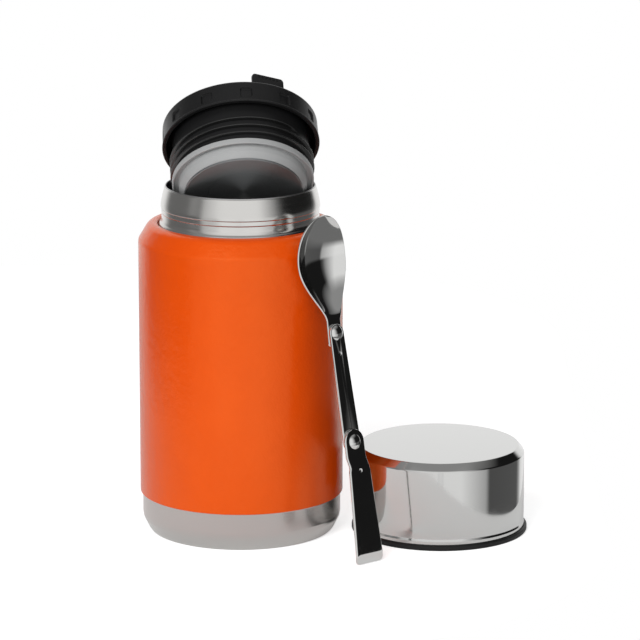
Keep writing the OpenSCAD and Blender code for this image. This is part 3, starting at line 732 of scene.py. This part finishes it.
def cap_piece(plastic):
    """The top face and its skirt, whose many rows let the grip pockets press in with clean edges."""
    rows = 40
    low, high = 1.4, SKIRT_H - TOP_EDGE
    inner_r = SKIRT_R - SKIRT_WALL
    root = 0.6
    bead = 0.3
    crown = 1.2
    outline = [(0, PLUG_TOP), (inner_r - root, PLUG_TOP)]
    outline += arc(inner_r - root, PLUG_TOP - root, root, 90, 0, 4)
    outline += [(inner_r, bead)]
    outline += arc(inner_r + bead, bead, bead, 180, 270, 3)
    outline += arc(SKIRT_R, bead, bead, -90, 0, 4)
    outline += arc(SKIRT_R, 0.7, bead, 0, 80, 4)
    outline += [(SKIRT_R, 1.15)]
    for i in range(rows + 1):
        outline.append((SKIRT_R - SKIRT_DRAFT * (i / rows), low + (high - low) * i / rows))
    outline += arc(SKIRT_R - 1.45, SKIRT_H - crown, crown, 0, 90, 8)
    outline += [(SKIRT_R - 6, SKIRT_H), (SKIRT_R - 12, SKIRT_H), (0, SKIRT_H)]
    cap = lathe("cap", outline, STOPPER, segments=960, warp=pocket_warp)
    near = (-TAB_W / 2 - TAB_GAP, -(TAB_H + TAB_T + TAB_GAP), -TAB_T / 2 - TAB_GAP)
    far = (TAB_W / 2 + TAB_GAP, TAB_T / 2 + TAB_GAP, 4)
    carve(cap, box_cutter(near, far, TAB))
    finish_piece(cap, plastic, "stopper", "black_plastic", "stopper_cap")


def plug_pieces(plastic, glossy_plastic):
    """The threaded plug with the hub that carries the disc."""
    inner_r = PLUG_R - PLUG_WALL
    hub_inner_r = HUB_R - PLUG_WALL
    hub_top = -HUB_DEPTH + PLUG_WALL
    ledge = -PLUG_DEPTH + PLUG_WALL
    outline = rounded([
        (inner_r, PLUG_TOP), (PLUG_R, PLUG_TOP), (PLUG_R, -PLUG_DEPTH, 0.35), (HUB_R, -PLUG_DEPTH),
        (HUB_R, -HUB_DEPTH), (0, -HUB_DEPTH), (0, hub_top), (hub_inner_r, hub_top), (hub_inner_r, ledge),
        (inner_r, ledge)])
    plug = lathe("plug", outline, STOPPER)
    finish_piece(plug, plastic, "stopper", "black_plastic", "stopper_plug")

    root = PLUG_R - 0.3
    crest = PLUG_R + PLUG_THREAD_H
    section = [(root, -0.95), (crest - 0.5, -0.4), (crest - 0.12, -0.24), (crest, -0.1), (crest, 0.1),
               (crest - 0.12, 0.24), (crest - 0.5, 0.4), (root, 0.95)]
    low = PLUG_THREAD_CLEAR - PLUG_DEPTH
    turns = (PLUG_THREAD_TOP - low) / THREAD_PITCH
    place = STOPPER @ turn("Z", PLUG_THREAD_START)
    thread = helix("plug_thread", section, low, turns, place, fade=0.05)
    finish_piece(thread, glossy_plastic, "stopper", "black_plastic")


def seal_piece(seal_stuff):
    """The seal: an outer ring, a groove, and an inner ring whose skirt reaches down to the disc."""
    top = -PLUG_DEPTH
    step = top - SEAL_RING_H
    groove = step + 1.3
    outline = rounded([
        (HUB_R, top), (SEAL_R, top, 0.4), (SEAL_R, step, 0.5), (SEAL_R - 0.8, step, 0.2),
        (SEAL_R - 1.0, groove, 0.2), (SEAL_STEP_R - 0.4, groove, 0.2), (SEAL_STEP_R - 0.5, step - 0.4, 0.3),
        (SEAL_STEP_R - 0.9, step - 2.2, 1.2), (DISC_R + 0.5, -SEAL_FOOT + 0.2, 0.4),
        (DISC_R + 0.2, -SEAL_FOOT), (HUB_R, -SEAL_FOOT)])
    seal = lathe("seal", outline, STOPPER)
    finish_piece(seal, seal_stuff, "stopper", "white_silicone", "stopper_seal")


def disc_piece(disc_steel):
    """The disc with its shallow dish. It keeps its own axes, which its turned surface follows."""
    low = -DISC_DEPTH
    dish_r = DISC_R * DISH_SHARE
    rim = -HUB_DEPTH - 0.3
    outline = rounded([
        (0, low + DISH_H), (dish_r - 0.25, low + DISH_H, 0.2), (dish_r, low + DISH_H - 0.12, 0.2),
        (DISC_R - 1.3, low + 0.2, 0.8), (DISC_R - 0.7, low, 0.35), (DISC_R, low + 0.15, 0.3),
        (DISC_R, rim), (HUB_R, rim), (HUB_R, -HUB_DEPTH), (0, -HUB_DEPTH)])
    disc = lathe("end_disc", outline, STOPPER, own_frame=True)
    finish_piece(disc, disc_steel, "stopper", "spun_steel", "stopper_disc")


def tab_pieces(plastic, pin_steel):
    """The flip tab with the ribs along its free edge, and the look of its pin."""
    half = TAB_W / 2
    back = TAB_T / 2
    top = TAB_H + back
    face = [(-half, -back, 0.3), (half, -back, 0.3), (half, top, TAB_CORNER), (-half, top, TAB_CORNER)]
    tab = plate("flip_tab_leaf", rounded(face, steps=7), -back, back, TAB, edge=0.4)
    finish_piece(tab, plastic, "tab", "black_plastic", "flip_tab")
    for k in range(TAB_RIBS):
        at = -half + RIB_INSET + k * (TAB_W - 2 * RIB_INSET) / (TAB_RIBS - 1)
        left, right = at - RIB_W / 2, at + RIB_W / 2
        low, high = top - 1.9, top - 0.5
        strip = rounded([(left, low), (right, low), (right, high, 0.3), (left, high, 0.3)], steps=3)
        rib = plate(f"tab_rib_{k + 1}", strip, -back - RIB_STAND, back + RIB_STAND, TAB, edge=0.15)
        finish_piece(rib, plastic, "tab", "black_plastic")
    give_material("tab_pin", pin_steel)


def stopper_pieces(plastic, glossy_plastic, seal_stuff, disc_steel, pin_steel):
    cap_piece(plastic)
    plug_pieces(plastic, glossy_plastic)
    seal_piece(seal_stuff)
    disc_piece(disc_steel)
    tab_pieces(plastic, pin_steel)


# ---------------------------------------------------------------- cup

def cup_pieces(mirror_steel, rubber):
    """The cup, upside down on the floor, with the grip ring round its rim."""
    flat_r = CUP_R - CUP_BEVEL_R
    bevel_z = CUP_H - CUP_BEVEL_H
    inner = CUP_R - CUP_WALL
    flare_r = CUP_R + CUP_FLARE
    flare_inner_r = flare_r - CUP_WALL
    outline = rounded([
        (flare_inner_r, RING_FLOOR), (flare_r, RING_FLOOR), (flare_r, RING_H + 1.5, 0.6),
        (CUP_R - 0.1, RING_H + 2.6, 1.2), (CUP_R, RING_H + 6, 4), (CUP_R, bevel_z, 1.3),
        (flat_r, CUP_H, 0.8), (0, CUP_H), (0, CUP_H - CUP_WALL), (flat_r - 0.6, CUP_H - CUP_WALL, 0.6),
        (inner, bevel_z - 0.6, 0.8), (inner, RING_H + 6), (flare_inner_r, RING_H)], steps=8)
    shell = lathe("cup_wall", outline, CUP_PLACE)
    finish_piece(shell, mirror_steel, "cup", "polished_steel", "cup_shell")
    ring_r = CUP_R + RING_OUT
    ring_outline = rounded([
        (RING_INNER_R, 0, 0.4), (ring_r, 0, 0.7), (ring_r, RING_H - 0.1, 0.8),
        (flare_r + 0.05, RING_H, 0.2), (flare_r, RING_FLOOR), (flare_inner_r, RING_FLOOR),
        (flare_inner_r, RING_H), (RING_INNER_R, RING_H, 0.6)], steps=6)
    ring = lathe("cup_rim_ring", ring_outline, CUP_PLACE)
    finish_piece(ring, rubber, "cup", "black_rubber", "cup_ring")


# ---------------------------------------------------------------- spoon

def dome(name, radius, height, place, material, body, *nodes):
    """A shallow domed rivet head with a short foot."""
    steps = 12
    foot = -0.3
    ball = (radius * radius + height * height) / (2 * height)
    reach = math.asin(radius / ball)
    angles = [reach * k / steps for k in range(steps + 1)]
    outline = [(ball * math.sin(a), ball * math.cos(a) - ball + height) for a in angles]
    piece = lathe(name, outline + [(radius, foot), (0, foot)], place, segments=64)
    finish_piece(piece, material, body, "polished_steel", *nodes)


def ease(start, length, value):
    """0 before the start and 1 past the length after it, with a soft rise between."""
    t = min(max((value - start) / length, 0), 1)
    return t * t * (3 - 2 * t)


def step_forward(z):
    """How far the handle stands forward of its rivet's plane at height z, in millimetres."""
    curl = min(max((-z - HANDLE_L + CURL_L) / CURL_L, 0), 1)
    return JOGGLE * ease(JOGGLE_FROM, JOGGLE_L, -z) - CURL_H * curl * curl


def level(x, z):
    """No dish: the sheet's front is straight from side to side."""
    return 0


def sheet_row(z, half, front, thickness, across, dish):
    """The points round a sheet at height z: its front, one rounded edge, its back and the other edge."""
    bulge = min(thickness * 0.42, half * 0.9)
    places = [(half - bulge) * (2 * i / across - 1) for i in range(across + 1)]
    angles = [math.pi * k / 6 for k in range(1, 6)]
    edge = [(math.sin(a), thickness / 2 * (1 - math.cos(a))) for a in angles]
    row = [(x, front + dish(x, z), z) for x in places]
    right_x, right_y, _ = row[-1]
    row += [(right_x + bulge * out, right_y + back, z) for out, back in edge]
    row += [(x, front + thickness + dish(x, z), z) for x in reversed(places)]
    left_x, left_y, _ = row[0]
    row += [(left_x - bulge * out, left_y + back, z) for out, back in reversed(edge)]
    return row


def sheet(name, rows, half_width, front, thickness, place, across=10, dish=level):
    """A pressed sheet: rows of points round it, with rounded long edges, joined into a closed skin."""
    data = bmesh.new()
    loops = []
    for z in rows:
        row = sheet_row(z, half_width(z), front(z), thickness, across, dish)
        loops.append([data.verts.new((x * MM, y * MM, z * MM)) for x, y, z in row])
    count = len(loops[0])
    for a, b in zip(loops, loops[1:]):
        for k in range(count):
            j = (k + 1) % count
            data.faces.new((a[k], a[j], b[j], b[k]))
    for loop in (loops[0], loops[-1]):
        data.faces.new(loop)
    bmesh.ops.remove_doubles(data, verts=data.verts, dist=1e-6)
    bmesh.ops.recalc_face_normals(data, faces=data.faces)
    return to_object(name, data, place, sharp=45)


def handle_piece(steel):
    """The end plate, a sheet of rows so that its step and its curled foot bend smoothly."""
    head_r, corner = HANDLE_HEAD_R, HANDLE_CORNER
    end = HANDLE_L - 0.25
    waist = 12
    rows = [head_r * math.cos(math.pi * k / 32) for k in range(17)]
    rows += [-(end - corner) * k / 90 for k in range(1, 91)]
    rows += [-end + corner - corner * math.sin(math.pi / 2 * k / 10) for k in range(1, 11)]

    def half_width(z):
        if z >= 0:
            return math.sqrt(max(head_r * head_r - z * z, 0))
        flare = max((-z - waist) / (end - waist), 0)
        wide = head_r + 0.5 * ease(waist, 2.5, -z) + 2.1 * flare ** 1.15
        cut = max(-z - end + corner, 0)
        return wide - (corner - math.sqrt(max(corner * corner - cut * cut, 0)))

    def front(z):
        return -(PLATE_T + PLATE_GAP) - step_forward(z)

    handle = sheet("spoon_end_plate", rows, half_width, front, PLATE_T, HANDLE)
    press_dimple(handle, HANDLE, -(PLATE_T + PLATE_GAP + JOGGLE), -HANDLE_DIMPLE_AT)
    finish_piece(handle, steel, "handle", "polished_steel", "spoon_handle")


def link_piece(steel):
    outline = arc(0, 0, LINK_FOOT_R, 180, 360, 20) + arc(0, LINK_L, LINK_HEAD_R, 0, 180, 20)
    middle = plate("spoon_middle_plate", outline, 0, PLATE_T, LINK, edge=0.45)
    press_dimple(middle, LINK, 0, LINK_L - DIMPLE_AT)
    finish_piece(middle, steel, "link", "polished_steel", "spoon_link")


def bowl_piece(steel):
    """The bowl and its tongue as one pressed sheet."""
    tongue_top = 6.0
    round_end = TONGUE_ROUND - TONGUE_L
    widest = BOWL_REACH - BOWL_L * 0.46
    bowl_from = BOWL_REACH - BOWL_L

    def half_width(z):
        if z <= tongue_top:
            return TONGUE_HALF * math.sqrt(max(1 - max((round_end - z) / TONGUE_ROUND, 0) ** 2, 0))
        if z < widest:
            t = (z - tongue_top) / (widest - tongue_top)
            return TONGUE_HALF + (BOWL_W / 2 - TONGUE_HALF) * math.sin(t * math.pi / 2) ** 1.35
        t = (z - widest) / (BOWL_REACH - widest)
        return BOWL_W / 2 * (1 - t ** 2.1) ** 0.5

    def along_bowl(z):
        return min(max((z - bowl_from) / BOWL_L, 0), 1)

    def dish(x, z):
        half = max(half_width(z) - 0.5, 0.01)
        depth = BOWL_DEPTH * math.sin(math.pi * along_bowl(z)) ** 0.8
        return depth * (1 - min(abs(x) / half, 1) ** 2.2)

    def front(z):
        t = 2 * along_bowl(z) - 1
        return PLATE_T + PLATE_GAP + RIM_DIP * (1 - t * t) ** 1.2

    rows = [round_end - TONGUE_ROUND * math.cos(math.pi / 2 * k / 6) for k in range(6)]
    rows += [round_end + (widest - round_end) * k / 48 for k in range(49)]
    rows += [widest + (BOWL_REACH - widest) * math.sin(math.pi / 2 * k / 40) for k in range(1, 41)]
    scoop = sheet("spoon_scoop", rows, half_width, front, BOWL_T, BOWL, across=28, dish=dish)
    finish_piece(scoop, steel, "bowl", "polished_steel", "spoon_bowl")


def rivet_pieces(steel):
    """The domed heads in front, and the flatter tails behind."""
    forward = turn("X", 90)
    backward = turn("X", -90)
    handle_head = AT_HANDLE_RIVET @ shift(0, -(PLATE_T + 2 * PLATE_GAP), 0) @ forward
    handle_tail = AT_HANDLE_RIVET @ shift(0, PLATE_T, 0) @ backward
    bowl_head = AT_BOWL_RIVET @ forward
    bowl_tail = AT_BOWL_RIVET @ shift(0, 2 * PLATE_T + 2 * PLATE_GAP, 0) @ backward
    tail_r, tail_dome = RIVET_HEAD_R * 0.8, RIVET_DOME * 0.8
    dome("handle_rivet_head", RIVET_HEAD_R, RIVET_DOME, handle_head, steel, "link", "handle_rivet")
    dome("handle_rivet_tail", TAIL_R, TAIL_DOME, handle_tail, steel, "link")
    dome("bowl_rivet_head", RIVET_HEAD_R, RIVET_DOME, bowl_head, steel, "link", "bowl_rivet")
    dome("bowl_rivet_tail", tail_r, tail_dome, bowl_tail, steel, "link")


def spoon_pieces(steel):
    handle_piece(steel)
    link_piece(steel)
    bowl_piece(steel)
    rivet_pieces(steel)


# ---------------------------------------------------------------- stage and light

WORLD_BEHIND = [(-180, 1.0), (-144, 1.0), (-136, 0.0), (136, 0.0), (144, 1.0), (180, 1.0)]
WORLD_LOW = [(-180, 1.0), (-142, 0.9), (-124, 0.16), (-66, 0.15), (-60, 0.1), (-56, 0.6), (-34, 0.7),
             (-28, 1.0), (-3.4, 1.0), (-2.4, 0.74), (-1.4, 0.94), (1.4, 0.94), (2.4, 0.74), (3.4, 1.0),
             (28, 1.0), (38, 0.85), (64, 0.5), (70, 0.1), (128, 0.12), (144, 0.9), (180, 1.0)]
WORLD_HIGH = [(-180, 1.0), (-142, 0.9), (-126, 0.17), (-84, 0.17), (-72, 0.32), (-60, 0.2), (-54, 0.6),
              (-28, 0.95), (28, 0.95), (42, 0.6), (52, 0.34), (60, 0.1), (68, 0.012), (134, 0.012),
              (150, 0.9), (180, 1.0)]
CLIMB_RATE = 12.0
CLIMB_START = 1.3
ROOF_RISE = [(0.6, 0.0), (0.86, 1.0)]
BELOW_RISE = [(0.34, 0.0), (0.5, 1.0)]
ROOF_GREY = (0.34, 0.34, 0.34, 1)
BELOW_GREY = (0.2, 0.2, 0.2, 1)
WHITE = (1, 1, 1, 1)
FLOOR_LOW = (-0.36, -0.22)
FLOOR_HIGH = (0.18, 0.6)
FLOOR_CORNER = 0.2
FLOOR_COLOUR = (0.86, 0.86, 0.86, 1)
FLOOR_GLOW = 0.62
FLOOR_MIRRORED = 0.3
LIGHT_AIM = Vector((0.0, 0.0, 0.1))


def mirror_rays(shader, path):
    """1 for the rays by which metal and clear things show what is round them."""
    glossy, through = path.outputs["Is Glossy Ray"], path.outputs["Is Transmission Ray"]
    return shader.math("ADD", glossy, through, clamp=True)


def round_ramp(shader, turned, stops):
    """A grey level that follows the direction's turn round the object, 0 degrees being in front."""
    return shader.ramp(turned, [(0.5 + degrees / 360, value) for degrees, value in stops])


def studio_colour(shader, turned, z):
    """Soft boxes and dark flags near the horizon, others above it, a roof and a dim underside."""
    low = round_ramp(shader, turned, WORLD_LOW)
    high = round_ramp(shader, turned, WORLD_HIGH)
    climb = shader.math("MULTIPLY_ADD", z, CLIMB_RATE, clamp=True)
    shader.put(climb.node.inputs[2], CLIMB_START)
    walls = shader.mix(climb, low, high)
    overhead = shader.ramp(z, ROOF_RISE)
    roofed = shader.mix(overhead, walls, ROOF_GREY)
    below = shader.ramp(shader.math("MULTIPLY", z, -1.0), BELOW_RISE)
    return shader.mix(below, roofed, BELOW_GREY)


def make_world():
    """White behind the object for the camera, and a studio for the light and the reflections."""
    world = bpy.data.worlds.new("studio")
    bpy.context.scene.world = world
    world.use_nodes = True
    s = Shader(world.node_tree)
    direction = s.add("ShaderNodeTexCoord").outputs["Generated"]
    split = s.add("ShaderNodeSeparateXYZ", {0: direction})
    x, y, z = split.outputs
    azimuth = s.math("ARCTAN2", x, s.math("MULTIPLY", y, -1.0))
    turned = s.math("MULTIPLY_ADD", azimuth, 1 / (2 * math.pi))
    s.put(turned.node.inputs[2], 0.5)
    lit = studio_colour(s, turned, z)
    path = s.add("ShaderNodeLightPath")
    studio = s.add("ShaderNodeBackground", {"Color": lit, "Strength": 1.0})
    white = s.add("ShaderNodeBackground", {"Color": WHITE, "Strength": 1.0})
    behind = round_ramp(s, turned, WORLD_BEHIND)
    mirrored = s.math("MULTIPLY", mirror_rays(s, path), behind)
    seen = s.math("ADD", path.outputs["Is Camera Ray"], mirrored, clamp=True)
    shown = s.add("ShaderNodeMixShader", {0: seen, 1: studio.outputs[0], 2: white.outputs[0]})
    output = s.add("ShaderNodeOutputWorld")
    s.put(output.inputs["Surface"], shown.outputs[0])


def floor_material():
    """White that glows for the camera, and for a share in mirrors, and takes the object's shadow."""
    material = bpy.data.materials.new("floor_white")
    material.use_nodes = True
    s = Shader(material.node_tree)
    white = s.add("ShaderNodeBsdfDiffuse", {"Color": FLOOR_COLOUR})
    glow = s.add("ShaderNodeEmission", {"Color": WHITE, "Strength": FLOOR_GLOW})
    both = s.add("ShaderNodeAddShader", {0: white.outputs[0], 1: glow.outputs[0]})
    path = s.add("ShaderNodeLightPath")
    mirrored = s.math("MULTIPLY", mirror_rays(s, path), FLOOR_MIRRORED)
    seen = s.math("ADD", path.outputs["Is Camera Ray"], mirrored, clamp=True)
    pick = s.add("ShaderNodeMixShader", {0: seen, 1: white.outputs[0], 2: both.outputs[0]})
    output = s.add("ShaderNodeOutputMaterial")
    s.put(output.inputs["Surface"], pick.outputs[0])
    return material


def make_floor():
    left, front = FLOOR_LOW
    right, back = FLOOR_HIGH
    corners = [(left, front), (right, front), (right, back), (left, back)]
    outline = rounded([(x, y, FLOOR_CORNER) for x, y in corners], steps=12)
    data = bmesh.new()
    data.faces.new([data.verts.new((x, y, 0)) for x, y in outline])
    mesh = bpy.data.meshes.new("floor")
    data.to_mesh(mesh)
    data.free()
    floor = bpy.data.objects.new("floor", mesh)
    bpy.context.scene.collection.objects.link(floor)
    mesh.materials.append(floor_material())


def area_light(name, azimuth, elevation, distance, size, watts):
    """A soft box that looks at the object from an azimuth, 0 being in front, and an elevation."""
    data = bpy.data.lights.new(name, "AREA")
    data.shape = "RECTANGLE"
    data.size, data.size_y = size
    data.energy = watts
    light = bpy.data.objects.new(name, data)
    light.visible_glossy = False
    bpy.context.scene.collection.objects.link(light)
    a, e = math.radians(azimuth), math.radians(elevation)
    away = Vector((math.sin(a) * math.cos(e), -math.cos(a) * math.cos(e), math.sin(e)))
    light.location = LIGHT_AIM + away * distance
    light.rotation_euler = away.to_track_quat("Z", "Y").to_euler()


# ---------------------------------------------------------------- build

bpy.context.scene.view_settings.view_transform = "Standard"
make_camera()
make_world()
make_floor()
area_light("key", azimuth=-20, elevation=32, distance=1.7, size=(0.8, 0.9), watts=16.5)

neck_steel = brushed("brushed_neck", (0.68, 0.67, 0.65), roughness=0.17, lines=0.2)
band_steel = brushed("brushed_band", (0.53, 0.515, 0.50), roughness=0.2, lines=0.12)
inner_steel = brushed("vessel_inside", (0.5, 0.5, 0.5), roughness=0.3)
mirror = polished("mirror_steel", (0.68, 0.68, 0.67))
cup_steel = polished("cup_steel", (0.62, 0.62, 0.61), roughness=0.06, lines=0.08)
black = moulded("black_plastic", (0.009, 0.009, 0.0093), roughness=0.36)
ring_rubber = moulded("black_rubber", (0.008, 0.008, 0.008), roughness=0.5)

jar_pieces(powder_coat(), neck_steel, band_steel, inner_steel)
glossy_black = moulded("glossy_black_plastic", (0.008, 0.008, 0.008), roughness=0.22, grain=0.05, gloss=0.7)
stopper_pieces(black, glossy_black, silicone("silicone"), spun("spun_disc"), mirror)
cup_pieces(cup_steel, ring_rubber)
spoon_pieces(mirror)

hidden = {"closing_plate": inner_steel, "seal_button": black, "getter": inner_steel,
          "stopper_foam": moulded("foam", (0.8, 0.75, 0.6), roughness=0.7)}
for node, material in hidden.items():
    give_material(node, material)
